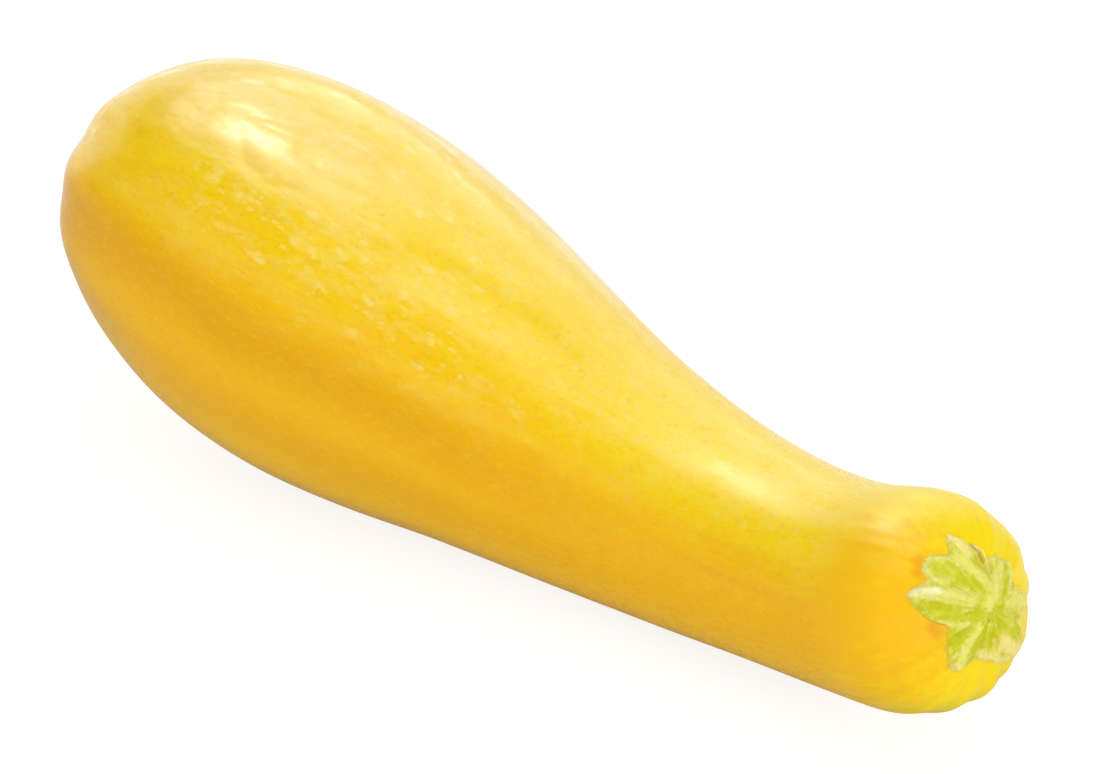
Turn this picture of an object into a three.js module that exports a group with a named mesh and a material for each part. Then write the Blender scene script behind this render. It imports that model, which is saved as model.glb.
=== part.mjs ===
import * as THREE from 'three';
import { mergeVertices } from 'three/addons/utils/BufferGeometryUtils.js';

// A yellow zucchini lying on its side, in millimetres. +X runs from the blossom end to the stalk
// end, +Z is up, and the origin is the middle of its footprint, on the surface that it lies on.
// It is two pieces: the fruit, which grew as one body, and the stub of its cut stalk.

// Driving dimensions
const fruitLength = 188.9;
const spineLength = 196; // the centreline runs on past the stalk
const fruitOutline = [ // [distance along the centreline, radius], from the blossom end
  [0.9, 0],
  [0.4, 2.5],
  [0.5, 6.5],
  [2.6, 13.9],
  [7.2, 19.8],
  [14.5, 24.3],
  [25.0, 28.2],
  [40.0, 31.1],
  [58.0, 31.1],
  [76.0, 28.4],
  [94.0, 24.3],
  [112.0, 20.5],
  [131.0, 17.6],
  [150.0, 15.9],
  [166.0, 15.8],
  [176.0, 16.7],
  [182.4, 15.8],
  [186.6, 12.2],
  [fruitLength, 5.0],
  [fruitLength, 0],
];
const spineSideways = [-2.7, -2.4, -1.2, 0.7, 2.7, 3.0, 1.4, -0.9]; // Y at equal steps along X
const spineHeights = [38.0, 36.0, 30.7, 25.3, 19.4, 17.4, 20.3, 29.6]; // Z at the same steps

const veinCount = 10;
const veinAt = -3; // degrees round from the top towards +Y, the same for every angle below
const veinDepth = 0.3;
const veinRise = 8; // the veins are at their full depth this far from the blossom end
const veinWane = [50, 145]; // and they die out between these distances along the fruit

const stalkGap = 0.3; // between the fruit and the underside of the stalk
const stalkCrown = 2.2; // thickness at the middle of the stalk
const stalkTip = 0.6; // thickness at the tip of a lobe
const stalkHollow = 0.6; // how much of its thickness the stalk keeps between two lobes at the rim
const stalkCore = 6.6; // radius that the stalk has between its lobes
const lobeHalfWidth = 21; // degrees
const lobes = [ // where each lobe of the stalk points, and how far it reaches from the middle
  { angle: -3, reach: 11.8 },
  { angle: 61, reach: 9.6 },
  { angle: 103, reach: 11.6 },
  { angle: 142, reach: 12.7 },
  { angle: 219, reach: 9.8 },
  { angle: 296, reach: 12.8 },
  { angle: 325, reach: 12.0 },
];

// Steps of the meshes
const fruitRound = 70;
const fruitAlong = 42;
const stalkRound = 84;
const stalkAcross = 5;

const spine = new THREE.CatmullRomCurve3(
  spineHeights.map((height, i) => {
    const along = (i / (spineHeights.length - 1)) * spineLength;
    return new THREE.Vector3(along, spineSideways[i], height);
  }),
  false,
  'catmullrom',
);
const outline = new THREE.SplineCurve(fruitOutline.map(([along, radius]) => new THREE.Vector2(radius, along)));

// Point at a distance along the spine, out from it by radius at an angle in radians from the top.
function onSpine(along, radius, angle) {
  const t = along / spineLength;
  const centre = spine.getPoint(t);
  const forward = spine.getTangent(t);
  const side = new THREE.Vector3(0, 0, 1).cross(forward).normalize();
  const top = forward.clone().cross(side);
  return centre
    .addScaledVector(top, radius * Math.cos(angle))
    .addScaledVector(side, radius * Math.sin(angle));
}

// Moves every vertex of a shape turned about Y to where place(vertex, angle) puts it.
function reshape(geometry, place) {
  const position = geometry.getAttribute('position');
  const vertex = new THREE.Vector3();
  for (let i = 0; i < position.count; i++) {
    vertex.fromBufferAttribute(position, i);
    const angle = Math.atan2(vertex.z, vertex.x);
    const moved = place(vertex, angle);
    position.setXYZ(i, moved.x, moved.y, moved.z);
  }
  geometry.deleteAttribute('normal');
  geometry.deleteAttribute('uv');
  const merged = mergeVertices(geometry, 1e-3);
  merged.computeVertexNormals();
  return merged;
}

// How deep the veins press into the skin at a place on the fruit.
function veinDent(along, angle) {
  const atBlossom = THREE.MathUtils.smoothstep(along, 0, veinRise);
  const atStalk = 1 - THREE.MathUtils.smoothstep(along, veinWane[0], veinWane[1]);
  const wave = Math.cos(veinCount * (angle - THREE.MathUtils.degToRad(veinAt)));
  return veinDepth * atBlossom * atStalk * (0.5 + 0.5 * wave);
}

// The whole body of the fruit. Where it would sag below the surface, it lies flat on it.
function makeFruit() {
  const turned = new THREE.LatheGeometry(outline.getSpacedPoints(fruitAlong), fruitRound);
  return reshape(turned, (vertex, angle) => {
    const radius = Math.hypot(vertex.x, vertex.z);
    const pressed = radius > 0.01 ? Math.max(radius - veinDent(vertex.y, angle), 0) : 0;
    const point = onSpine(vertex.y, pressed, angle);
    point.z = Math.max(point.z, 0);
    return point;
  });
}

// 1 along the middle of a lobe, 0 in the hollows between the lobes, and how far that lobe reaches.
function nearestLobe(angle) {
  const turn = 2 * Math.PI;
  const halfWidth = THREE.MathUtils.degToRad(lobeHalfWidth);
  let best = { ridge: 0, reach: stalkCore };
  for (const lobe of lobes) {
    const apart = THREE.MathUtils.euclideanModulo(
      angle - THREE.MathUtils.degToRad(lobe.angle) + Math.PI,
      turn,
    ) - Math.PI;
    const ridge = Math.exp(-((apart / halfWidth) ** 2));
    if (ridge > best.ridge) best = { ridge, reach: lobe.reach };
  }
  return best;
}

// The stub of the stalk: a low star that clings to the rounded end of the fruit.
function makeStalk() {
  const section = [];
  for (let i = 0; i <= stalkAcross; i++) section.push(new THREE.Vector2(i / stalkAcross, 0));
  for (let i = stalkAcross; i >= 0; i--) section.push(new THREE.Vector2(i / stalkAcross, 1));
  const turned = new THREE.LatheGeometry(section, stalkRound);
  return reshape(turned, (vertex, angle) => {
    const outward = Math.hypot(vertex.x, vertex.z);
    const { ridge, reach } = nearestLobe(angle);
    const walked = outward * THREE.MathUtils.lerp(stalkCore, reach, ridge);
    const thick = THREE.MathUtils.lerp(stalkCrown, stalkTip, outward) * (1 - (1 - stalkHollow) * outward * (1 - ridge));
    const place = 1 - walked / outline.getLength();
    const onSkin = outline.getPointAt(place);
    const slope = outline.getTangentAt(place);
    const lift = stalkGap + vertex.y * thick;
    const radius = outward > 0 ? onSkin.x + slope.y * lift : 0;
    return onSpine(onSkin.y - slope.x * lift, radius, angle);
  });
}

function namedMesh(name, geometry, color, roughness) {
  const material = new THREE.MeshStandardMaterial({ color, roughness, metalness: 0 });
  const mesh = new THREE.Mesh(geometry, material);
  mesh.name = name;
  return mesh;
}

const group = new THREE.Group();
group.add(namedMesh('fruit', makeFruit(), '#f2c81e', 0.38));
group.add(namedMesh('stalk', makeStalk(), '#c3cc3e', 0.6));

// Put the origin at the middle of the footprint.
const box = new THREE.Box3().setFromObject(group);
const middle = box.getCenter(new THREE.Vector3());
group.position.set(-middle.x, -middle.y, -box.min.z);

export default group;
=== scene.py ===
import math
import bpy
import numpy as np
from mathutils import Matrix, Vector, noise
from mathutils.bvhtree import BVHTree


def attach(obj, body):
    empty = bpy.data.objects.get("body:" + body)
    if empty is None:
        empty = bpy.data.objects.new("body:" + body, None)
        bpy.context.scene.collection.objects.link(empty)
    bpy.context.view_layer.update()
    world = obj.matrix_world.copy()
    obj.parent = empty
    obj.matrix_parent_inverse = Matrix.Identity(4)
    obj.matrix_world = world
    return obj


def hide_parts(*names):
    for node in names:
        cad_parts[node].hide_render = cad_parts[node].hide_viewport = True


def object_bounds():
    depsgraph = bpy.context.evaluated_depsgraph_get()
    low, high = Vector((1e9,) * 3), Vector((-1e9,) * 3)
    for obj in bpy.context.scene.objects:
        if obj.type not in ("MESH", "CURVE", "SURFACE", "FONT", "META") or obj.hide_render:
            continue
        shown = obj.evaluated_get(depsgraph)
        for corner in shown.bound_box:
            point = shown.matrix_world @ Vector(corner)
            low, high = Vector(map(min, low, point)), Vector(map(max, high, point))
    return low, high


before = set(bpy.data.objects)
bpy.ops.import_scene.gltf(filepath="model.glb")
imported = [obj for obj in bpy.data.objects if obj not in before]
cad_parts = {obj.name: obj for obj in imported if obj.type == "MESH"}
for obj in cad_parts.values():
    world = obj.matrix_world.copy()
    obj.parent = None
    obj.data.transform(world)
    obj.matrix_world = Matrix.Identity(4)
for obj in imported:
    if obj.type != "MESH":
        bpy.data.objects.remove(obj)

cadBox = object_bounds()
print("frame loaded:", sorted(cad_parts))


# Camera, light and floor. Lengths are in metres, except where a note says millimetres.

camera = {
    "lens": 120,
    "azimuth": 45.32,  # degrees, counted from looking along +Y
    "elevation": 26.43,
    "distance": 0.5675,
    "aim": (0.00569, 0.00076, 0.03122),
}


def towards(azimuth, elevation):
    # unit vector from the object to something seen at this azimuth (from +X towards +Y) and elevation
    a, e = math.radians(azimuth), math.radians(elevation)
    return Vector((math.cos(a) * math.cos(e), math.sin(a) * math.cos(e), math.sin(e)))


def addCamera():
    data = bpy.data.cameras.new("camera")
    data.lens = camera["lens"]
    data.sensor_width = 36
    data.clip_start = 0.01
    eye = bpy.data.objects.new("camera", data)
    bpy.context.scene.collection.objects.link(eye)
    outward = towards(camera["azimuth"] - 90, camera["elevation"])
    eye.location = Vector(camera["aim"]) + outward * camera["distance"]
    eye.rotation_euler = outward.to_track_quat("Z", "Y").to_euler()
    bpy.context.scene.camera = eye


lamps = {
    # place, the azimuth and elevation that it shines from, width, height, brightness, and what it is for
    "softbox": ((-0.23, 0.23, 0.89), 135, 70, 1.60, 1.60, 0.64, "light"),
    "front": ((0.70, -0.63, 0.28), -42, 10, 1.30, 0.50, 1.12, "light"),
    "right": ((0.92, 0.08, 0.33), 5, 14, 0.90, 0.50, 2.30, "light"),
    "left": ((-0.24, -0.89, 0.33), -105, 14, 0.90, 0.50, 1.52, "light"),
    "back": ((-0.62, 0.62, 0.30), 135, 12, 1.50, 0.50, 1.32, "light"),
    "panel": ((-0.63, 0.42, 0.77), 77, 70.5, 1.320, 1.466, 2.2, "shine"),
    "strip": ((0.24, -0.24, 0.95), 77, 70.5, 0.440, 0.720, 2.4, "shine"),
    "backdrop": ((-0.75, 0.63, 0.21), 140, 12, 2.20, 0.62, 0.98, "shine"),
    "glow": ((-0.46, 0.08, 0.83), 170, 62, 0.55, 0.60, 1.3, "shine"),
    "window": ((-0.50, 0.07, 0.80), 172, 58, 0.21, 0.24, 9.2, "shine"),
}


def addLamp(name, place, azimuth, elevation, width, height, brightness, use):
    data = bpy.data.lights.new(name, "AREA")
    data.shape = "RECTANGLE"
    data.size = width
    data.size_y = height
    data.energy = brightness * math.pi * width * height
    lamp = bpy.data.objects.new(name, data)
    bpy.context.scene.collection.objects.link(lamp)
    lamp.location = place
    lamp.rotation_euler = towards(azimuth, elevation).to_track_quat("Z", "Y").to_euler()
    lamp.visible_camera = False
    lamp.visible_diffuse = use == "light"
    lamp.visible_glossy = use == "shine"


room = {
    "ambient": 0.40,
    "ambientShine": 0.06,
    "floorShade": 0.80,  # for the light that the floor sends back
    "floorSeen": 0.32,  # for what is seen of it, and lifted to white
    "floorLift": 0.80,
    "floorShine": (0.15, 0.82),  # in reflections it is lifted less in front of the zucchini than behind it
    "backward": (-0.17, 0.98, 0),  # the way from the zucchini to the floor behind it
    "backwardReach": (0.0, 0.08),  # how far that way the lift grows, in metres
    "floorSize": 6.0,
    "floorDrop": 0.0001,
}


class Value:
    # a shader socket that can be added, multiplied and so on
    def __init__(self, sheet, socket):
        self.sheet, self.socket = sheet, socket

    def maths(self, operation, *others):
        return self.sheet.node("ShaderNodeMath", {"operation": operation}, dict(enumerate((self,) + others)))

    def __add__(self, other):
        return self.maths("ADD", other)

    __radd__ = __add__

    def __mul__(self, other):
        return self.maths("MULTIPLY", other)

    __rmul__ = __mul__

    def __sub__(self, other):
        return self.maths("SUBTRACT", other)

    def __rsub__(self, other):
        return self.sheet.node("ShaderNodeMath", {"operation": "SUBTRACT"}, {0: other, 1: self})

    def __truediv__(self, other):
        return self.maths("DIVIDE", other)

    def __pow__(self, other):
        return self.maths("POWER", other)

    def highest(self, other):
        return self.maths("MAXIMUM", other)

    def size(self):
        return self.maths("ABSOLUTE")


class Sheet:
    # the node tree of one material
    def __init__(self, name):
        self.material = bpy.data.materials.new(name)
        self.material.use_nodes = True
        self.tree = self.material.node_tree
        self.tree.nodes.clear()

    def node(self, kind, settings=None, sockets=None, out=0):
        made = self.tree.nodes.new(kind)
        for name, value in (settings or {}).items():
            setattr(made, name, value)
        for name, value in (sockets or {}).items():
            if isinstance(value, Value):
                self.tree.links.new(value.socket, made.inputs[name])
            elif isinstance(value, tuple) and len(value) == 3 and made.inputs[name].type == "RGBA":
                made.inputs[name].default_value = (*value, 1)
            else:
                made.inputs[name].default_value = value
        return Value(self, made.outputs[out])

    def attribute(self, name, out=1):
        return self.node("ShaderNodeAttribute", {"attribute_name": name}, out=out)

    def stretch(self, vector, scale):
        return self.node("ShaderNodeVectorMath", {"operation": "MULTIPLY"}, {0: vector, 1: scale})

    def shift(self, vector, nudge, amount):
        sockets = {0: nudge, 1: amount, 2: vector}
        return self.node("ShaderNodeVectorMath", {"operation": "MULTIPLY_ADD"}, sockets)

    def split(self, vector):
        return [self.node("ShaderNodeSeparateXYZ", {}, {0: vector}, i) for i in range(3)]

    def noise(self, vector, scale, detail, rough, out=0):
        sockets = {"Vector": self.stretch(vector, scale), "Scale": 1.0, "Detail": detail, "Roughness": rough}
        return self.node("ShaderNodeTexNoise", {}, sockets, out)

    def step(self, value, start, end, low=0.0, high=1.0):
        # eases from low at start to high at end, and stays there beyond them
        sockets = {"Value": value, "From Min": start, "From Max": end, "To Min": low, "To Max": high}
        return self.node("ShaderNodeMapRange", {"interpolation_type": "SMOOTHSTEP"}, sockets)

    def blend(self, share, first, second, kind="MIX"):
        settings = {"data_type": "RGBA", "blend_type": kind, "clamp_factor": True}
        return self.node("ShaderNodeMix", settings, {0: share, 6: first, 7: second}, 2)

    def bump(self, height, strength, distance, normal=None):
        sockets = {"Height": height, "Strength": strength, "Distance": distance}
        if normal:
            sockets["Normal"] = normal
        return self.node("ShaderNodeBump", {}, sockets)

    def finish(self, shader):
        output = self.tree.nodes.new("ShaderNodeOutputMaterial")
        self.tree.links.new(shader.socket, output.inputs["Surface"])
        return self.material


def makeFloorMaterial():
    sheet = Sheet("pale floor")
    direct, glossy, through = [sheet.node("ShaderNodeLightPath", out=out) for out in (0, 3, 6)]
    seen = direct.highest(glossy).highest(through)
    shade, pale = [(room[name],) * 3 for name in ("floorShade", "floorSeen")]
    matt = sheet.node("ShaderNodeBsdfDiffuse", {}, {"Color": sheet.blend(seen, shade, pale), "Roughness": 0.5})
    place = sheet.node("ShaderNodeTexCoord", out=3)
    behind = sheet.node("ShaderNodeVectorMath", {"operation": "DOT_PRODUCT"}, {0: place, 1: room["backward"]}, 1)
    shine = sheet.step(behind, *room["backwardReach"], *room["floorShine"])
    lift = direct.highest(glossy * shine).highest(through) * room["floorLift"]
    lifted = sheet.blend(lift, (0, 0, 0), (1, 1, 1))
    glow = sheet.node("ShaderNodeEmission", {}, {"Color": lifted, "Strength": 1.0})
    return sheet.finish(sheet.node("ShaderNodeAddShader", {}, {0: matt, 1: glow}))


def addFloor():
    bpy.ops.object.select_all(action="DESELECT")
    bpy.ops.mesh.primitive_plane_add(size=room["floorSize"], location=(0, 0, -room["floorDrop"]))
    floor = bpy.context.active_object
    floor.name = "floor"
    floor.data.materials.append(makeFloorMaterial())


def addRoom():
    scene = bpy.context.scene
    scene.view_settings.view_transform = "Standard"
    scene.world = bpy.data.worlds.new("room")
    scene.world.use_nodes = True
    tree = scene.world.node_tree
    background = tree.nodes["Background"]
    background.inputs["Color"].default_value = (1, 1, 1, 1)
    path = tree.nodes.new("ShaderNodeLightPath")
    level = tree.nodes.new("ShaderNodeMapRange")  # the room gives soft light, and little shine
    level.inputs["To Min"].default_value = room["ambient"]
    level.inputs["To Max"].default_value = room["ambientShine"]
    tree.links.new(path.outputs["Is Glossy Ray"], level.inputs["Value"])
    tree.links.new(level.outputs["Result"], background.inputs["Strength"])
    addCamera()
    for name, numbers in lamps.items():
        addLamp(name, *numbers)
    addFloor()
    print("camera, lamps and floor are in")


# Places measured along the bent fruit, as if it were straight

spine = {
    # the centreline from the blossom end to just past the stalk, in metres, at equal steps along X
    "start": -0.09621,
    "step": 0.028,
    "side": (-0.00114, -0.00084, 0.00036, 0.00226, 0.00426, 0.00456, 0.00296, 0.00066),
    "height": (0.0380, 0.0360, 0.0307, 0.0253, 0.0194, 0.0174, 0.0203, 0.0296),
}
spineX = spine["start"] + spine["step"] * np.arange(len(spine["side"]))
spinePoints = np.stack([spineX, np.array(spine["side"]), np.array(spine["height"])], -1)


def onSpine(along):
    # centre and unit vectors forward, up and sideways, at distances along the spine
    t = np.clip(along / spine["step"], 0, len(spinePoints) - 1.001)
    i = np.floor(t).astype(int)
    w = (t - i)[:, None]
    first, last = 2 * spinePoints[0] - spinePoints[1], 2 * spinePoints[-1] - spinePoints[-2]
    row = np.vstack([first, spinePoints, last])
    a, b, c, d = row[i], row[i + 1], row[i + 2], row[i + 3]
    bend, twist = 2 * a - 5 * b + 4 * c - d, 3 * (b - c) + d - a
    centre = b + 0.5 * w * (c - a + w * (bend + w * twist))
    slope = 0.5 * (c - a) + w * bend + 1.5 * w * w * twist
    forward = slope / np.linalg.norm(slope, axis=1, keepdims=True)
    side = np.cross((0.0, 0.0, 1.0), forward)
    side /= np.linalg.norm(side, axis=1, keepdims=True)
    return centre, forward, np.cross(forward, side), side


def straighten(places):
    # distance along the spine, then up and sideways from it, as if the fruit were not bent
    along = places[:, 0] - spine["start"]
    for attempt in range(8):  # each one comes closer
        centre, forward, up, side = onSpine(along)
        along = along + ((places - centre) * forward).sum(1)
    centre, forward, up, side = onSpine(along)
    out = places - centre
    return along, (out * up).sum(1), (out * side).sum(1)


def readPlaces(piece):
    places = np.zeros(len(piece.data.vertices) * 3)
    piece.data.vertices.foreach_get("co", places)
    return places.reshape(-1, 3)


def readNormals(piece):
    normals = np.zeros(len(piece.data.vertices) * 3, np.float32)
    piece.data.vertex_normals.foreach_get("vector", normals)
    return normals.reshape(-1, 3).astype(float)


def writePlaces(piece, places):
    piece.data.vertices.foreach_set("co", places.ravel())
    piece.data.update()


def store(piece, name, values):
    kind = "FLOAT_VECTOR" if values.ndim == 2 else "FLOAT"
    made = piece.data.attributes.new(name, kind, "POINT")
    made.data.foreach_set("vector" if values.ndim == 2 else "value", values.astype(np.float32).ravel())


def ease(value, start, end):
    t = np.clip((value - start) / (end - start), 0, 1)
    return t * t * (3 - 2 * t)


def ripple(rows, seed=0.0):
    # smooth noise from -1 to 1 at each row of three numbers
    return np.array([noise.noise(Vector(row) + Vector((seed, 1.7 * seed, -seed))) for row in rows])


def activate(piece):
    bpy.ops.object.select_all(action="DESELECT")
    piece.select_set(True)
    bpy.context.view_layer.objects.active = piece


def applyModifier(piece, kind, **settings):
    activate(piece)
    modifier = piece.modifiers.new(kind.lower(), kind)
    for name, value in settings.items():
        setattr(modifier, name, value)
    bpy.ops.object.modifier_apply(modifier=modifier.name)


# The fruit: its skin

fruit = {
    # angles are round from the top; a rise or wane is where it starts and ends along the spine
    "veins": 10,
    "veinAt": math.radians(-3),
    "waver": 0.30,  # how far a vein strays, as a share of the space between veins
    "grooveWidth": 0.0011,
    "grooveDepth": 0.00002,
    "grooveRise": (0.004, 0.03),
    "grooveWane": (0.165, 0.18),
    "swell": 0.00018,  # height of the broad unevenness
    "swellRise": (0.0, 0.01),
    "swellWane": (0.172, 0.186),
    "pleatRise": (0.168, 0.183),
    "pleatDepth": 0.00085,
    "pleatFolds": (4, 9),  # how close the coarse and the fine folds lie
    "pleatDeepest": math.radians(150),  # low on the far side
    "knobAt": math.radians(-49),  # the dip in the middle of the soft corners round the blossom end
    "knobTurn": math.radians(34),  # from one corner to the next
    "knobSpread": 0.55,
    "knobAlong": (0.009, 0.011),  # their place along the spine, and how far they run
    "knobHeight": 0.00032,
    "blossomEnd": 0.03,  # how far along the spine the blossom's marks may lie
    "scarRadius": 0.0042,
    "scarRim": 0.00025,
    "scarRimWidth": 0.0011,
    "puckers": 13,
    "puckerRadius": 0.0085,
    "puckerWidth": 0.003,
    "puckerDepth": 0.0002,
    "restingHeight": 0.0008,  # below this it keeps the flat patch that it lies on
}


def veinDistance(along, up, side):
    # metres to the nearest vein, over the skin
    angle = np.arctan2(side, up) - fruit["veinAt"]
    count = angle * fruit["veins"] / (2 * math.pi)
    waver = ripple(np.stack([along * 45, np.cos(angle) * 2.2, np.sin(angle) * 2.2], -1), 3.0)
    count = count + 0.3 * fruit["waver"] * waver
    gap = np.abs(count - np.round(count))
    return gap * np.hypot(up, side) * 2 * math.pi / fruit["veins"]


def shapeFruit(piece):
    places = readPlaces(piece)
    normals = readNormals(piece)
    along, up, side = straighten(places)
    radius = np.hypot(up, side)
    angle = np.arctan2(side, up)
    ends = ease(along, *fruit["grooveRise"]) * (1 - ease(along, *fruit["grooveWane"]))
    groove = np.exp(-((veinDistance(along, up, side) / fruit["grooveWidth"]) ** 2))
    depth = fruit["grooveDepth"] * ends * groove
    swell = ripple(np.stack([along * 28, up * 70, side * 70], -1), 9.0)
    depth += fruit["swell"] * swell * ease(along, *fruit["swellRise"]) * (1 - ease(along, *fruit["swellWane"]))

    # soft corners round the blossom end
    apart = (angle - fruit["knobAt"] + math.pi) % (2 * math.pi) - math.pi
    middle, run = fruit["knobAlong"]
    knobs = np.exp(-((apart / fruit["knobSpread"]) ** 2) - ((along - middle) / run) ** 2)
    depth += fruit["knobHeight"] * knobs * (np.cos(apart * 2 * math.pi / fruit["knobTurn"]) - 0.4)

    # pleats that gather towards the stalk
    pleats = ease(along, *fruit["pleatRise"])
    coarseFolds, fineFolds = fruit["pleatFolds"]
    folds = ripple(np.stack([np.cos(angle) * coarseFolds, np.sin(angle) * coarseFolds, along * 60], -1), 5.0)
    fine = ripple(np.stack([np.cos(angle) * fineFolds, np.sin(angle) * fineFolds, along * 60], -1), 6.0)
    under = 0.45 + 0.55 * ease(np.cos(angle - fruit["pleatDeepest"]), -0.2, 0.7)
    depth += fruit["pleatDepth"] * pleats * under * (0.5 + 0.75 * folds + 0.3 * fine).clip(0, 1)

    # a raised rim round the scar of the blossom, and puckers round the rim
    atBlossom = along < fruit["blossomEnd"]
    rim = np.exp(-(((radius - fruit["scarRadius"]) / fruit["scarRimWidth"]) ** 2))
    ring = np.exp(-(((radius - fruit["puckerRadius"]) / fruit["puckerWidth"]) ** 2))
    puckers = 0.5 + 0.5 * np.cos(angle * fruit["puckers"] + 2 * np.sin(angle * 3))
    depth -= fruit["scarRim"] * rim * atBlossom
    depth += fruit["puckerDepth"] * puckers * ring * atBlossom

    resting = ease(places[:, 2], 0.0, fruit["restingHeight"])
    lowest, highest = (np.array(corner) for corner in cadBox)
    writePlaces(piece, np.clip(places - normals * (depth * resting)[:, None], lowest, highest))
    store(piece, "straight", np.stack([along, up, side], -1))


skinLook = {
    # golden and lemon are a shaded and a lit copy of one yellow: painted light, lighter and more lemon towards
    # the top, darker and more golden on the flanks
    "golden": (0.935, 0.505, 0.0005),  # the flanks
    "lemon": (0.970, 0.665, 0.003),  # the top
    # painted light: the top of the neck is painted lighter, as if lit from above
    "neckTop": (1.000, 0.715, 0.004),
    # painted light: the underside is painted lighter, as if lit by light from the floor
    "under": (0.990, 0.600, 0.010),  # the underside
    "ochre": (0.820, 0.410, 0.001),  # veins, bands and the dark part of the mottle
    "light": (0.990, 0.700, 0.030),  # the light part of the mottle
    "pale": (0.990, 0.760, 0.200),  # flecks
    "dot": (1.000, 0.720, 0.040),  # sparse dots on the flanks of the neck
    "paintedSheen": (0.930, 0.640, 0.220),  # painted sheen: pale colour on the crest of the thick end, where the highlight falls
    # painted light and shade on the shoulder: lemon and lighter where it faces up and towards the near flank,
    # orange and darker towards the far flank
    "shoulderSide": (0.980, 0.545, 0.001),
    "shoulderTop": (0.985, 0.740, 0.002),
    "paintedShade": (0.860, 0.340, 0.002),  # painted shade: small orange shadows in the hollows beside the star
    "paintedShadeWidth": 0.0016,
    "paintedShadeSpots": (
        # along the spine, up and sideways from it
        (0.1866, 0.0079, -0.0085),
        (0.1862, 0.0094, -0.0077),
        (0.1881, -0.0010, -0.0085),
        (0.1879, 0.0001, -0.0090),
    ),
    "cork": (0.360, 0.200, 0.070),  # the scar of the blossom
    "shares": {
        # how much of each tint shows where it is strongest
        "vein": 0.35,
        "under": 0.7,
        "neckTop": 0.7,
        "darker": 0.45,  # of the mottle
        "lighter": 0.40,
        "fleck": 0.62,
        "ridge": 0.10,
        "dot": 0.40,
        "shoulder": 0.9,
        "paintedShade": 0.7,
        "paintedSheen": 0.35,
    },
    "spans": {
        # along the spine, where each starts and where it is full, then how strong it is there if not 0 and 1
        "toneAndTopLight": (0.100, 0.150, 1.0, 1.15),
        "band": (0.150, 0.080),
        "ridge": (0.135, 0.095),
        "neckTop": (0.100, 0.145),
        "largeFlecks": (0.125, 0.090, 0.1, 1.0),
        "flecks": (0.120, 0.085, 0.55, 1.0),
        "fleckStart": (0.020, 0.050),
        "fleckEnd": (0.182, 0.170),
        "dots": (0.080, 0.110),
        "shoulder": (0.166, 0.180),
        "scar": (0.02, 0.01),
        "plumpStart": (0.018, 0.032),
        "plumpEnd": (0.078, 0.052),
        "crackleStart": (0.092, 0.110),
        "crackleEnd": (0.162, 0.140),
        "dull": (0.085, 0.120, 0.0, 0.07),
        "wax": (0.120, 0.085, 0.3, 1.0),
        "waxEnd": (0.180, 0.168),
    },
    "heights": {
        # the same from the underside, -1, over the flanks, 0, to the top, 1
        "vein": (0.9, 0.5, 0.4, 1.0),
        "band": (0.75, 0.35),
        "bandBelow": (-0.6, 0.1, 0.4, 1.0),
        "ridge": (0.85, 0.6),
        "ridgeBelow": (-0.2, 0.3),
        "under": (-0.1, -0.6),
        "neckTop": (0.45, 0.80),
        "drift": (-0.1, 0.60),
        "driftAbove": (1.25, 0.85),
        "spots": (0.30, 0.62),
        "flecks": (0.30, 0.60, 0.10, 1.0),
        "topFlecks": (0.76, 0.86),
        "dots": (0.80, 0.50),
        "dotsBelow": (-0.45, 0.0),
        "crest": (0.78, 0.90),
        "wax": (0.25, 0.70),
    },
    "crestSide": (0.10, -0.15),  # the same from the near flank, -1, to the far flank, 1
    "farSmooth": (0.62, 0.25, 0.2, 1.0),
    "scarEdge": (0.0052, 0.0032),  # radius
    "veinWidth": 0.0009,
    "bandWidth": 0.0085,
    "ridgeWidth": 0.16,  # as a share of the space between veins
    "fleckLength": 0.0038,
    "fleckWidth": 0.0021,
    "smallFleck": 0.45,  # the size of the small ones
    "largeChance": 0.62,
    "smallChance": 0.42,
    "pillowLength": 0.0078,
    "pillowWidth": 0.0038,
    "pillowDepth": 0.00046,
    "dimpleDepth": 0.00006,
    "pimpleDepth": 0.00002,
    "crackleDepth": 0.00004,
    "grainDepth": 0.000014,
    "textures": {
        # how fine along the spine and across it, per metre, then detail and roughness
        "wander": ((30, 40, 40), 2.0, 0.5),
        "broken": ((90, 300, 300), 3.0, 0.5),
        "streak": ((50, 620, 620), 4.0, 0.6),
        "fine": ((260, 1700, 1700), 3.0, 0.6),
        "cloud": ((45, 90, 90), 3.0, 0.55),
        "speckle": ((700, 1300, 1300), 3.0, 0.65),
        "drift": ((24, 150, 150), 3.0, 0.6),
        "mottle": ((200, 420, 420), 4.0, 0.6),
        "paler": ((110, 240, 240), 5.0, 0.72),
        "pleat": ((70, 700, 700), 3.0, 0.6),
        "nudge": ((130, 180, 180), 1.0, 0.5),
        "crackle": ((420, 1500, 1500), 2.0, 0.6),
        "dimples": ((300, 520, 520), 1.0, 0.5),
        "pimples": ((700, 1250, 1250), 1.0, 0.5),
        "grain": ((2200, 3400, 3400), 2.0, 0.6),
        "patch": ((70, 260, 260), 4.0, 0.6),
        "powder": ((420, 800, 800), 3.0, 0.65),
    },
    "roughness": 0.19,
    "gloss": 1.36,  # refractive index
    "soft": 0.25,  # share of the light that goes under the skin
    "softReach": (1.0, 0.45, 0.06),
    "softScale": 0.003,
    "waxRoughness": 0.15,
    "waxGloss": 1.32,
}


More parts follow.
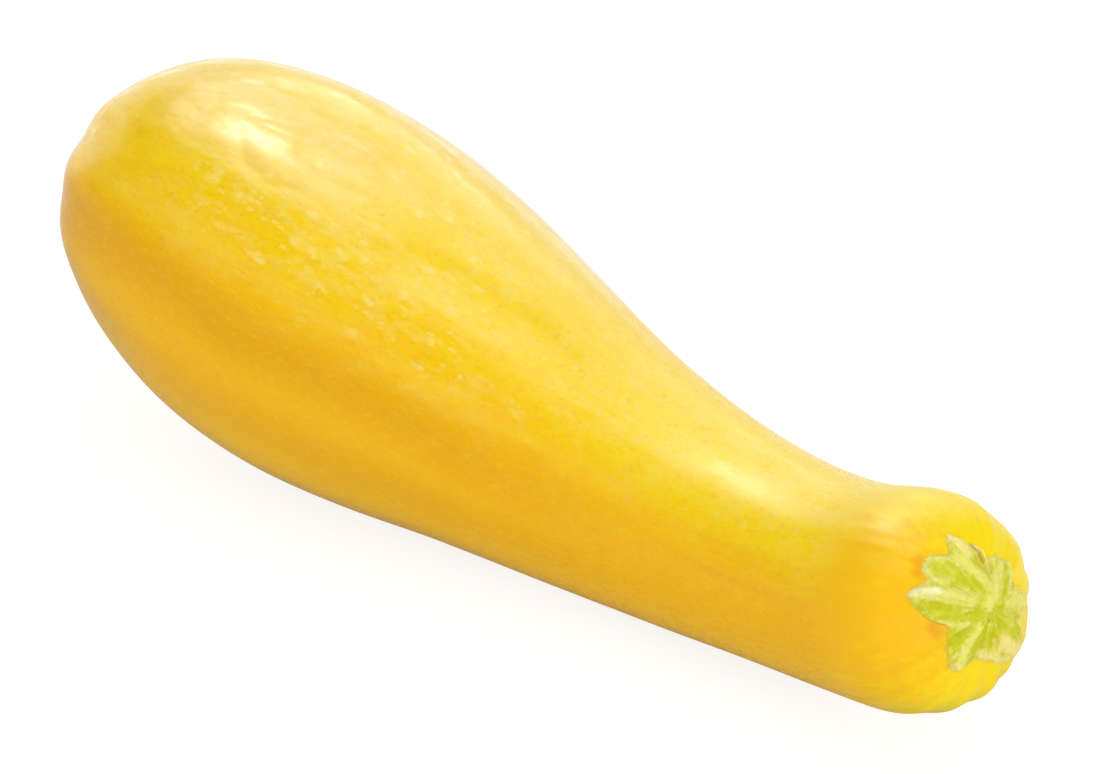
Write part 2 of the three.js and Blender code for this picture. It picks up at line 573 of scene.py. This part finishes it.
def flecks(sheet, place, length, width, share, where):
    # pale ragged spots of one size, a share of the cells holding one
    scaled = sheet.stretch(place, (1 / length, 1 / width, 1 / width))
    nudge = sheet.noise(place, (1.6 / length, 1.6 / width, 1.6 / width), 2.0, 0.6, out=1)
    nudged = sheet.shift(scaled, nudge, (1.3, 1.0, 1.0))
    cell = {}
    for name, out in (("distance", 0), ("chance", 1)):
        sockets = {"Vector": nudged, "Scale": 1.0, "Randomness": 1.0}
        cell[name] = sheet.node("ShaderNodeTexVoronoi", {"feature": "F1"}, sockets, out)
    chance = sheet.split(cell["chance"])[0]
    reach = sheet.step(chance + where, 1 - share, 1.4 - share, 0.0, 0.5)
    return sheet.step(cell["distance"] - reach, 0.12, -0.36)


def makeSkinMaterial():
    look, shares = skinLook, skinLook["shares"]
    sheet = Sheet("waxy yellow skin")
    straight = sheet.attribute("straight")
    along, up, side = sheet.split(straight)
    angle = side.maths("ARCTAN2", up)
    radius = (up * up + side * side) ** 0.5
    upward, across = up / radius.highest(0.001), side / radius.highest(0.001)  # 1 at the top, 1 on the far flank

    def texture(name, out=0):
        return sheet.noise(straight, *look["textures"][name], out)

    def lengthwise(name):
        return sheet.step(along, *look["spans"][name])

    def heightwise(name):
        return sheet.step(upward, *look["heights"][name])

    # veins: faint broken lines lengthwise, with a wide darker band along those low on the sides
    wander = texture("wander") - 0.5
    turns = fruit["veins"] / (2 * math.pi)
    count = angle * turns - fruit["veinAt"] * turns + wander * fruit["waver"]
    offVein = (count - count.maths("ROUND")).size()
    gap = offVein * radius / turns
    broken = sheet.step(texture("broken"), 0.40, 0.62)
    vein = sheet.step(gap, look["veinWidth"], 0.0001) * broken * heightwise("vein")
    band = sheet.step(gap, look["bandWidth"], 0.0005) * heightwise("band")
    band = band * lengthwise("band") * heightwise("bandBelow")
    ridge = sheet.step(0.5 - offVein, look["ridgeWidth"], 0.0)
    ridge = ridge * heightwise("ridge") * heightwise("ridgeBelow") * lengthwise("ridge")

    # streaks and clouds of colour over painted light, lemon and lighter towards the top, golden and darker on
    # the flanks
    streak = texture("streak")
    fine = texture("fine")
    cloud = texture("cloud")
    toneAndTopLight = upward * lengthwise("toneAndTopLight")
    toneAndTopLight = toneAndTopLight + (streak - 0.5) * 0.75 + (cloud - 0.5) * 0.4 + (fine - 0.5) * 0.3
    colour = sheet.blend(sheet.step(toneAndTopLight, 0.15, 1.0), look["golden"], look["lemon"])
    colour = sheet.blend(band * (streak + 0.35), colour, look["ochre"])
    colour = sheet.blend(vein * shares["vein"], colour, look["ochre"])
    # painted light: the underside is lighter, as if lit from the floor below
    colour = sheet.blend(heightwise("under") * shares["under"], colour, look["under"])
    # painted light: the top of the neck is lighter, as if lit from above
    neckTop = lengthwise("neckTop") * heightwise("neckTop")
    colour = sheet.blend(neckTop * shares["neckTop"], colour, look["neckTop"])

    # a fine mottle all over, a little darker and a little paler than the rest
    speckle = texture("speckle")
    colour = sheet.blend(sheet.step(speckle, 0.50, 0.22) * shares["darker"], colour, look["ochre"])
    colour = sheet.blend(sheet.step(speckle, 0.50, 0.78) * shares["lighter"], colour, look["light"])

    # pale flecks in rows and drifts, large ones and small ones, over a soft mottle
    drift = texture("drift") - 0.5
    shownSide = heightwise("drift") * heightwise("driftAbove")
    where = drift * 1.3 + shownSide * 0.22 - 0.22
    long, wide = look["fleckLength"], look["fleckWidth"]
    large = flecks(sheet, straight, long, wide, look["largeChance"], where * 0.9)
    large = large * lengthwise("largeFlecks")
    long, wide = long * look["smallFleck"], wide * look["smallFleck"]
    small = flecks(sheet, straight, long, wide, look["smallChance"], where * 0.9)
    mottle = texture("mottle")
    paler = texture("paler")
    fleck = large.highest(small * 0.9) * heightwise("spots")
    fleck = fleck.highest(sheet.step(mottle + where * 0.12, 0.45, 0.75) * 0.22)
    fleck = fleck.highest(sheet.step(paler + where * 0.2, 0.47, 0.60) * 0.46)
    fleck = fleck * heightwise("flecks")
    fleck = fleck * lengthwise("flecks").highest(heightwise("topFlecks"))
    fleck = fleck * lengthwise("fleckStart") * lengthwise("fleckEnd")
    neckFlank = lengthwise("dots") * heightwise("dots") * heightwise("dotsBelow")
    ridge = ridge * (streak + cloud) * shares["ridge"]
    colour = sheet.blend((fleck * shares["fleck"]).highest(ridge), colour, look["pale"])
    colour = sheet.blend(small * neckFlank * shares["dot"], colour, look["dot"])

    # shoulder round the stalk, with streaks that follow the pleats, painted lemon and lighter where it faces up
    # and towards the near flank and orange and darker towards the far flank, as painted light and shade
    shoulder = lengthwise("shoulder")
    pleat = texture("pleat")
    facing = upward * 0.26 - across * 0.97 + (pleat - 0.5) * 1.5
    lemon = sheet.blend(sheet.step(facing, 1.0, 0.1), look["shoulderSide"], look["shoulderTop"])
    colour = sheet.blend(shoulder * shares["shoulder"], colour, lemon)
    # painted shade in the hollows beside the star
    for point in look["paintedShadeSpots"]:
        away = sheet.node("ShaderNodeVectorMath", {"operation": "DISTANCE"}, {0: straight, 1: point}, 1)
        away = away + (speckle - 0.5) * 0.0014
        colour = sheet.blend(sheet.step(away, look["paintedShadeWidth"], 0.0) * shares["paintedShade"], colour, look["paintedShade"])

    # corky scar where the blossom was
    scar = sheet.step(radius, *look["scarEdge"]) * lengthwise("scar")
    colour = sheet.blend(scar, colour, look["cork"])

    # the crest of the thick end is slightly pillowed, and painted paler there as a sheen where the highlight
    # falls
    nudge = texture("nudge", 1)
    spaced = sheet.stretch(straight, (1 / look["pillowLength"],) + (1 / look["pillowWidth"],) * 2)
    spaced = sheet.shift(spaced, nudge, (0.9, 0.9, 0.9))
    cells = {"Vector": spaced, "Scale": 1.0, "Randomness": 0.9, "Smoothness": 0.45}
    pillow = sheet.node("ShaderNodeTexVoronoi", {"feature": "SMOOTH_F1"}, cells, 0)
    pillow = 0.0 - pillow * pillow
    crest = heightwise("crest") * sheet.step(across, *look["crestSide"])
    plump = lengthwise("plumpEnd") * lengthwise("plumpStart") * crest
    # painted sheen on the crest, where the highlight falls
    colour = sheet.blend(plump * shares["paintedSheen"], colour, look["paintedSheen"])

    # fine unevenness: crackle on the crest of the neck, then dimples, pimples and grain all over
    crackle = texture("crackle")
    crackle = crackle * lengthwise("crackleStart") * lengthwise("crackleEnd") * crest
    dimples = texture("dimples")
    pimples = texture("pimples")
    grain = texture("grain")
    fade = sheet.step(across, *look["farSmooth"])  # the far flank is smoother
    normal = sheet.bump(pillow * plump, 1.0, look["pillowDepth"])
    normal = sheet.bump(dimples, 1.0, look["dimpleDepth"], normal)
    normal = sheet.bump(pimples * fade, 1.0, look["pimpleDepth"], normal)
    normal = sheet.bump(crackle, 1.0, look["crackleDepth"], normal)
    normal = sheet.bump(grain * fade, 1.0, look["grainDepth"], normal)
    rough = look["roughness"] + sheet.step(mottle, 0.30, 0.70, -0.03, 0.07) + fleck * 0.08 + scar * 0.3
    rough = rough + lengthwise("dull") + shoulder * 0.06

    # a thin coat of wax lies in patches
    patch = texture("patch")
    powder = texture("powder")
    wax = sheet.step(patch * 0.5 + powder * 0.5, 0.38, 0.62, 0.0, 0.75) * heightwise("wax")
    wax = wax * lengthwise("wax") * lengthwise("waxEnd")
    shader = sheet.node("ShaderNodeBsdfPrincipled", {"subsurface_method": "RANDOM_WALK"}, {
        "Base Color": colour,
        "Roughness": rough,
        "Normal": normal,
        "IOR": look["gloss"],
        "Subsurface Weight": look["soft"],
        "Subsurface Radius": look["softReach"],
        "Subsurface Scale": look["softScale"],
        "Coat Weight": wax,
        "Coat Roughness": look["waxRoughness"],
        "Coat IOR": look["waxGloss"],
    })
    return sheet.finish(shader)


def makeFruit():
    piece = bpy.data.objects.new("skin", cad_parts["fruit"].data.copy())
    bpy.context.scene.collection.objects.link(piece)
    activate(piece)
    bpy.ops.mesh.customdata_custom_splitnormals_clear()
    bpy.ops.object.mode_set(mode="EDIT")
    bpy.ops.mesh.select_all(action="SELECT")
    bpy.ops.mesh.remove_doubles(threshold=0.00001)
    bpy.ops.mesh.tris_convert_to_quads()
    bpy.ops.object.mode_set(mode="OBJECT")
    applyModifier(piece, "SUBSURF", levels=2, render_levels=2)
    shapeFruit(piece)
    activate(piece)
    bpy.ops.object.shade_smooth()
    piece.data.materials.clear()
    piece.data.materials.append(makeSkinMaterial())
    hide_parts("fruit")
    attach(piece, "root")
    print("fruit:", len(piece.data.polygons), "faces")
    return piece


# The stub of the stalk

stalk = {
    "heart": 0.1765,  # where along the spine the middle of the fruit's round end is
    "arc": 0.01238,  # metres over the skin per radian seen from there, near the middle
    "spread": 0.093,  # how soon the skin takes more metres per radian
    "crown": 0.0015,  # its height at the middle, in metres
    "edge": 0.00032,  # and near the rim, before it thins out
    "lowest": 0.00012,
    "highest": 0.00225,  # at the middle
    "highestFall": 0.0009,  # how much less it may be at the rim
    "ragged": 0.00042,
    "rough": 0.00014,
    "coarse": 750,
    "fine": 1900,
    "tornAt": (-0.0010, -0.0003),  # the middle of the torn patch, up and sideways
    "tornWane": (0.0008, 0.0026),
    "rimScale": 1.02,  # the rim goes a little past its points, because it thins out
    "thinFrom": 0.86,
    "sink": 0.00007,  # how far the rim goes into the skin
    "underside": -0.00025,
    "segments": 540,
    "rings": 80,
    "topShare": 0.85,  # of the rings, the rest is the underside
    # the outline: degrees round from the top, millimetres from the middle
    "rim": (
        (4, 10.2), (14, 9.2), (24, 7.6), (43, 8.3), (60, 8.8), (74, 7.4), (86, 8.2),
        (103, 10.8), (122, 9.6), (140, 11.8), (157, 10.6), (176, 8.4), (192, 7.4), (209, 8.0),
        (222, 9.8), (239, 9.0), (255, 7.4), (269, 7.2), (280, 9.6), (289, 11.6), (298, 12.8),
        (304, 11.8), (310, 10.9), (318, 11.8), (331, 11.6), (341, 10.0), (350, 12.0), (358, 11.6),
    ),
    # ribs and slits: height and width in millimetres, tint, then places as degrees and millimetres
    "ribs": (
        (1.00, 0.75, "pale", ((298, 12.4), (304, 10.5), (306, 8.2), (308, 4.9))),
        # a painted highlight along the crest of the left lobe's tall ridge
        (0.10, 0.70, "ridgeHighlight", ((298, 12.6), (302, 11.0), (305, 8.6))),
        (0.20, 1.60, "pale", ((299, 12.0), (305, 8.2), (310, 3.8))),
        (0.75, 1.00, "pale", ((331, 11.2), (340, 9.1), (346, 6.7), (357, 4.4), (14, 2.4))),
        (0.35, 0.60, "pale", ((317, 11.4), (315, 9.4), (318, 7.6))),
        (0.70, 1.30, "cream", ((352, 11.8), (353, 9.8), (356, 8.2))),
        (0.55, 0.50, "cream", ((6, 10.0), (14, 8.8), (20, 7.0))),
        (-0.60, 0.34, "brown", ((357, 11.6), (3, 10.2), (9, 8.8), (17, 6.6))),
        (0.35, 0.80, "pale", ((60, 8.2), (68, 6.2), (74, 4.6))),
        (0.50, 1.20, "pale", ((44, 6.6), (34, 4.0), (25, 1.8), (340, 1.0))),
        (0.40, 1.40, "pale", ((102, 9.6), (100, 6.4), (96, 3.6))),
        (0.55, 1.70, "cream", ((140, 11.0), (150, 8.0), (160, 5.4))),
        (0.25, 0.90, "cream", ((176, 8.0), (186, 6.8), (200, 7.4))),
        (0.45, 1.20, "cream", ((222, 9.2), (226, 7.6))),
        (0.35, 0.80, "pale", ((226, 7.4), (232, 5.0), (236, 2.6))),
        (0.30, 0.55, "pale", ((279, 9.2), (270, 6.6), (262, 3.8))),
        (-0.45, 1.50, "green", ((288, 10.4), (289, 7.6), (288, 4.0))),
        (-0.45, 1.30, "green", ((318, 9.8), (320, 7.4), (321, 4.8))),
        (-0.35, 1.00, "green", ((359, 7.4), (12, 6.0), (38, 5.4))),
        (-0.35, 1.40, "green", ((236, 8.0), (246, 5.6), (256, 3.2))),
        (-0.30, 1.20, "green", ((206, 6.4), (204, 4.0))),
    ),
    # how the margin is tinted: its width in metres, then degrees round from the top and the share there
    "margins": {
        "amber": (0.0016, ((0, 0), (200, 0), (214, 0.8), (240, 1), (284, 1), (294, 0), (360, 0))),
        "cream": (0.0042, (
            (0, 0.9), (24, 0.8), (40, 0.2), (84, 0.4), (100, 1), (196, 1),
            (206, 0.3), (236, 0), (340, 0), (350, 0.9), (360, 0.9),
        )),
        "pale": (0.0026, (
            (0, 0.3), (30, 0.7), (70, 0.7), (90, 0.2), (200, 0), (218, 0.8),
            (232, 0.2), (290, 0.3), (300, 1), (340, 1), (360, 0.3),
        )),
    },
}

stalkTints = {
    # these lie where the ribs, slits and margins put them, over green
    "green": (0.62, 0.62, 0.002),
    "pale": (0.86, 0.80, 0.160),
    # ridgeHighlight is a painted highlight on the left lobe's ridge
    "ridgeHighlight": (0.98, 0.92, 0.460),
    "cream": (0.99, 0.82, 0.240),
    "brown": (0.66, 0.42, 0.040),
    "amber": (0.90, 0.58, 0.012),
}

stalkLook = {
    "lime": (0.74, 0.72, 0.030),
    "blush": (0.95, 0.64, 0.34),
    "speck": (0.97, 0.93, 0.66),
    "textures": {
        # how fine each way, per metre, then detail and roughness; fibre runs out from the middle
        "fibre": ((9, 9, 260), 4.0, 0.65),
        "cork": ((1100, 1100, 1100), 4.0, 0.6),
        "crumb": ((2800, 2800, 2800), 3.0, 0.6),
        "blotch": ((520, 520, 520), 3.0, 0.6),
    },
    "fibreDepth": 0.00030,
    "corkDepth": 0.00030,
    "crumbDepth": 0.00012,
    "roughness": (0.38, 0.62),
    "gloss": 1.40,
    "soft": 0.3,
    "softReach": (1.0, 0.9, 0.2),
    "softScale": 0.002,
}


def rimReach(angle):
    # the outline at each angle, in metres, smooth through the points of the rim
    rim = stalk["rim"]
    turn = np.radians([p[0] - 360 for p in rim[-3:]] + [p[0] for p in rim] + [p[0] + 360 for p in rim[:3]])
    far = np.array([p[1] for p in rim[-3:] + rim + rim[:3]]) / 1000
    a = angle % (2 * math.pi)
    i = np.searchsorted(turn, a, "right") - 1
    w = (a - turn[i]) / (turn[i + 1] - turn[i])
    before, here, there, after = far[i - 1], far[i], far[i + 1], far[i + 2]
    bend = 2 * before - 5 * here + 4 * there - after
    return here + 0.5 * w * (there - before + w * (bend + w * (3 * (here - there) + after - before)))


def nearRib(flat, points):
    # distance of each flat place from a rib's line
    line = [np.array((math.cos(math.radians(t)), math.sin(math.radians(t)))) * far / 1000 for t, far in points]
    best = np.full(len(flat), 1.0)
    for start, end in zip(line[:-1], line[1:]):
        run = end - start
        share = np.clip(((flat - start) @ run) / (run @ run), 0, 1)
        best = np.minimum(best, np.linalg.norm(flat - start - share[:, None] * run, axis=1))
    return best


def makeStalkMaterial():
    look, textures = stalkLook, stalkLook["textures"]
    sheet = Sheet("green stalk")
    straight = sheet.attribute("straight")
    around = sheet.attribute("around")
    fibre = sheet.noise(around, *textures["fibre"])
    cork, crumb, blotch = [sheet.noise(straight, *textures[name]) for name in ("cork", "crumb", "blotch")]
    ragged = (fibre - 0.5) * 1.3 + (cork - 0.5) * 1.3
    colour = sheet.blend(sheet.step(fibre + (blotch - 0.5) * 0.6, 0.38, 0.70), stalkTints["green"], look["lime"])
    colour = sheet.blend(sheet.step(blotch + (crumb - 0.5) * 0.5, 0.52, 0.78) * 0.6, colour, stalkTints["pale"])
    for name in ("pale", "amber", "cream", "ridgeHighlight", "brown"):
        share = sheet.step(sheet.attribute(name, 2) + ragged, 0.20, 1.00)
        colour = sheet.blend(share, colour, stalkTints[name])
    blush = sheet.step(cork, 0.52, 0.70) * sheet.attribute("cream", 2)
    colour = sheet.blend(blush * 0.55, colour, look["blush"])
    # light specks go on the pale tint and on the painted highlight
    paleAndHighlight = sheet.attribute("pale", 2) + sheet.attribute("ridgeHighlight", 2)
    speck = sheet.step(crumb + (cork - 0.5) * 0.5, 0.60, 0.72) * paleAndHighlight
    colour = sheet.blend(speck * 0.8, colour, look["speck"])
    far = sheet.split(around)[2]
    normal = sheet.bump(fibre * sheet.step(far, 0.0005, 0.0045), 1.0, look["fibreDepth"])
    normal = sheet.bump(cork, 1.0, look["corkDepth"], normal)
    normal = sheet.bump(crumb, 1.0, look["crumbDepth"], normal)
    shader = sheet.node("ShaderNodeBsdfPrincipled", {"subsurface_method": "RANDOM_WALK"}, {
        "Base Color": colour,
        "Roughness": sheet.step(cork, 0.3, 0.7, *look["roughness"]),
        "Normal": normal,
        "IOR": look["gloss"],
        "Subsurface Weight": look["soft"],
        "Subsurface Radius": look["softReach"],
        "Subsurface Scale": look["softScale"],
    })
    return sheet.finish(shader)


def makeStalk(skin):
    bpy.ops.object.select_all(action="DESELECT")
    bpy.ops.mesh.primitive_uv_sphere_add(segments=stalk["segments"], ring_count=stalk["rings"], radius=1)
    piece = bpy.context.active_object
    piece.name = "stub"
    ball = readPlaces(piece)
    angle = np.arctan2(ball[:, 1], ball[:, 0])
    fall = np.arccos(np.clip(ball[:, 2], -1, 1)) / math.pi  # 0 at the crown, 1 under it
    turn = stalk["topShare"]
    above = fall < turn
    outward = np.where(above, fall / turn, (1 - fall) / (1 - turn))  # 0 at the middle, 1 at the rim
    ring = np.stack([np.cos(angle), np.sin(angle)], -1)
    level = 0 * ring[:, :1]
    ragged = ripple(np.hstack([ring * 7, level]), 2.0) + 0.6 * ripple(np.hstack([ring * 19, level]), 4.0)
    reach = stalk["rimScale"] * rimReach(angle) + stalk["ragged"] * ragged
    far = outward * reach
    flat = ring * far[:, None]
    tints = {name: np.zeros(len(ball)) for name in stalkTints}
    height = stalk["crown"] + (stalk["edge"] - stalk["crown"]) * ease(outward, 0.0, 1.0)
    for tall, wide, tint, points in stalk["ribs"]:
        near = np.exp(-((nearRib(flat, points) / (wide / 1000)) ** 2))
        height = height + tall / 1000 * near * (1 - 0.35 * outward)
        tints[tint] = np.maximum(tints[tint], near)

    # the grain, most of all in the torn middle
    torn = 1 - ease(np.linalg.norm(flat - np.array(stalk["tornAt"]), axis=1), *stalk["tornWane"])
    coarse = ripple(np.hstack([flat * stalk["coarse"], level]), 1.0)
    fine = ripple(np.hstack([flat * stalk["fine"], level]), 8.0)
    height = height + stalk["rough"] * (coarse + 0.6 * fine + 2.2 * torn * fine)
    height = np.clip(height, stalk["lowest"], stalk["highest"] - stalk["highestFall"] * outward)

    # towards the rim it thins out and sinks into the skin
    thin = ease(outward, stalk["thinFrom"], 1.0)
    height = height * (1 - thin) + thin * (0.9 * stalk["rough"] * (coarse + fine) - stalk["sink"])
    height = np.where(above, height, stalk["underside"])

    # tints of the margin and of the torn middle; cream gives way to the others
    for name in ("pale", "ridgeHighlight", "brown"):
        tints["cream"] = np.maximum(tints["cream"] - tints[name] * 0.5, 0)
    for name, (width, points) in stalk["margins"].items():
        share = np.interp(np.degrees(angle) % 360, [p[0] for p in points], [p[1] for p in points])
        tints[name] = np.maximum(tints[name], share * ease(far, reach - width, reach - 0.15 * width))
    tints["pale"] = np.maximum(tints["pale"], 0.45 * torn)

    # lay it on the skin, along rays from the middle of the fruit's round end
    tree = BVHTree.FromPolygons([v.co for v in skin.data.vertices], [p.vertices for p in skin.data.polygons])
    centre, forward, up, side = (row[0] for row in onSpine(np.array([stalk["heart"]])))
    lean = far / stalk["arc"] * (1 - far / stalk["spread"])
    rays = np.cos(lean)[:, None] * forward + np.sin(lean)[:, None] * (ring[:, :1] * up + ring[:, 1:] * side)
    hits = np.array([tree.ray_cast(Vector(centre), Vector(ray))[0] for ray in rays])
    writePlaces(piece, hits + rays * height[:, None])
    along, upward, sideways = straighten(readPlaces(piece))
    store(piece, "straight", np.stack([along, upward, sideways], -1))
    store(piece, "around", np.hstack([ring, far[:, None]]))
    for name in ("pale", "ridgeHighlight", "cream", "brown", "amber"):
        store(piece, name, tints[name])
    activate(piece)
    bpy.ops.object.shade_smooth()
    piece.data.materials.append(makeStalkMaterial())
    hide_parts("stalk")
    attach(piece, "root")
    print("stalk:", len(piece.data.polygons), "faces")
    return piece


addRoom()
skin = makeFruit()
makeStalk(skin)
